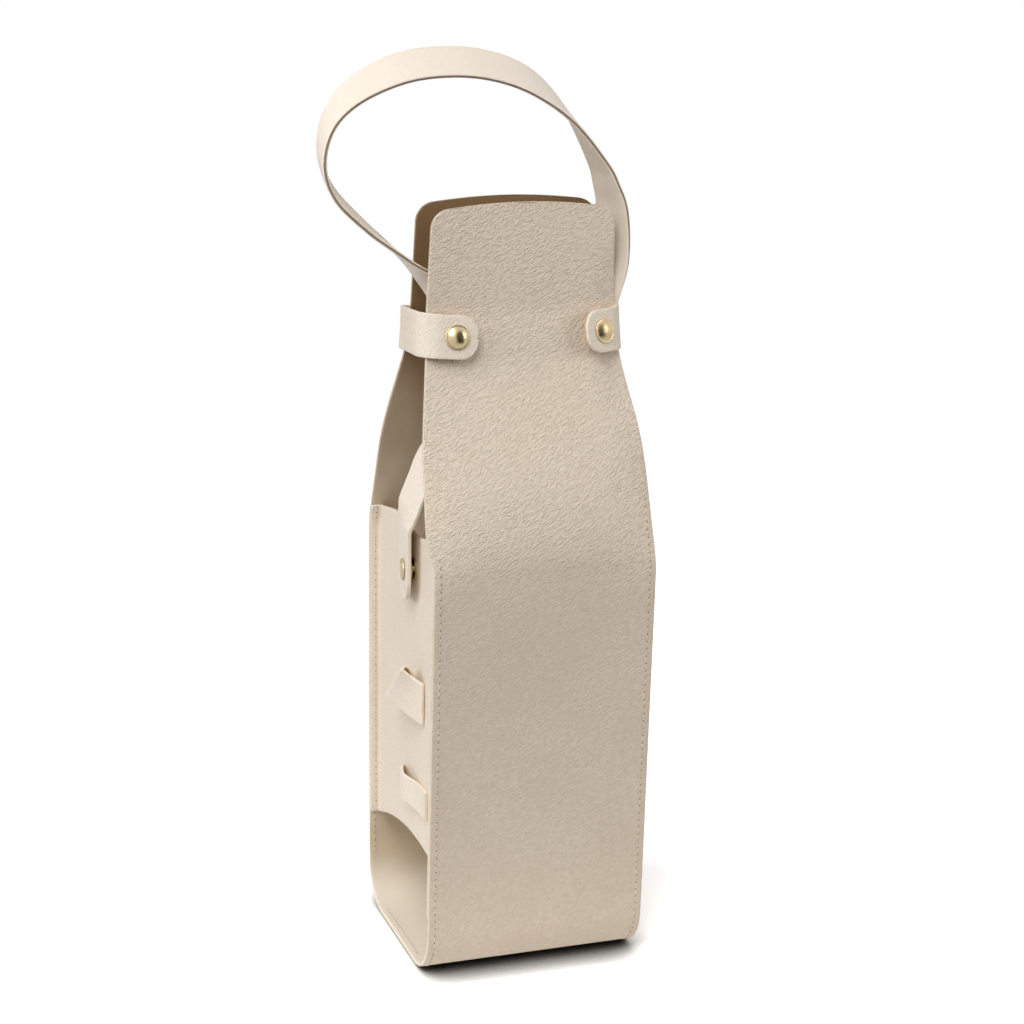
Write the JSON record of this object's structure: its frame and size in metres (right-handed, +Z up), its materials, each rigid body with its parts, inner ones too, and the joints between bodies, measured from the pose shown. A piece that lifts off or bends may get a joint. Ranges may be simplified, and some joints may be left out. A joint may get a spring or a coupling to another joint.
{
  "type": "bottle carrier",
  "caption": "Leather bottle carrier of one folded shell with set-in side walls, snap bands round its neck, a twisted handle strap and a snapped side strap.",
  "frame": {"origin": "middle of the base's underside, on the surface that the carrier stands on", "axes": "+Z up along the panels, -Y out of the front panel with the snaps, +X to the right seen from the front"},
  "size_m": [0.1434, 0.1064, 0.4169],
  "materials": {
    "shell_leather": "pebbled full grain, light beige",
    "lining_leather": "smooth, tan",
    "wall_leather": "smooth fine grain, cream",
    "strap_leather": "fine grain, cream, with painted edges",
    "thread": "waxed thread",
    "brass": "polished"
  },
  "bodies": {
    "carrier": {"outer_shell": "shell_leather", "lining": "lining_leather", "left_gusset": "wall_leather", "right_gusset": "wall_leather", "front_left_seam": "thread", "front_right_seam": "thread", "back_left_seam": "thread", "back_right_seam": "thread", "base_seams": "thread", "upper_tool_loop": "strap_leather", "lower_tool_loop": "strap_leather", "left_band": "strap_leather", "right_band": "strap_leather", "left_stud": "brass", "right_stud": "brass", "left_stud_post": "brass", "right_stud_post": "brass", "back_left_rivet": "brass", "back_right_rivet": "brass", "back_left_burr": "brass", "back_right_burr": "brass", "handle_left_end": "strap_leather", "handle_right_end": "strap_leather", "strap_upper": "strap_leather", "strap_stud": "brass", "strap_stud_post": "brass"},
    "handle": {"handle_strap": "strap_leather"},
    "left_tab": {"left_tab": "strap_leather", "left_tab_socket": "brass", "left_tab_cap": "brass"},
    "right_tab": {"right_tab": "strap_leather", "right_tab_socket": "brass", "right_tab_cap": "brass"},
    "strap_tab": {"strap_tab": "strap_leather", "strap_socket": "brass", "strap_cap": "brass"}
  },
  "joints": [
    {"name": "handle_swing", "type": "hinge", "parent": "carrier", "child": "handle", "pos_m": [-0.05863, -0.00076, 0.33158], "axis": [0.9715, -0.0219, 0.2359], "range_deg": [-75, 75]},
    {"name": "left_tab_fold", "type": "hinge", "parent": "carrier", "child": "left_tab", "pos_m": [-0.0485, -0.01813, 0.29411], "axis": [-0.0872, -0.1935, -0.9772], "range_deg": [0, 115]},
    {"name": "right_tab_fold", "type": "hinge", "parent": "carrier", "child": "right_tab", "pos_m": [0.0485, -0.0182, 0.29378], "axis": [-0.0872, 0.1935, 0.9772], "range_deg": [0, 115]},
    {"name": "strap_tab_fold", "type": "hinge", "parent": "carrier", "child": "strap_tab", "pos_m": [-0.0512, -0.005, 0.203], "axis": [0, 1, 0], "range_deg": [0, 110]}
  ]
}
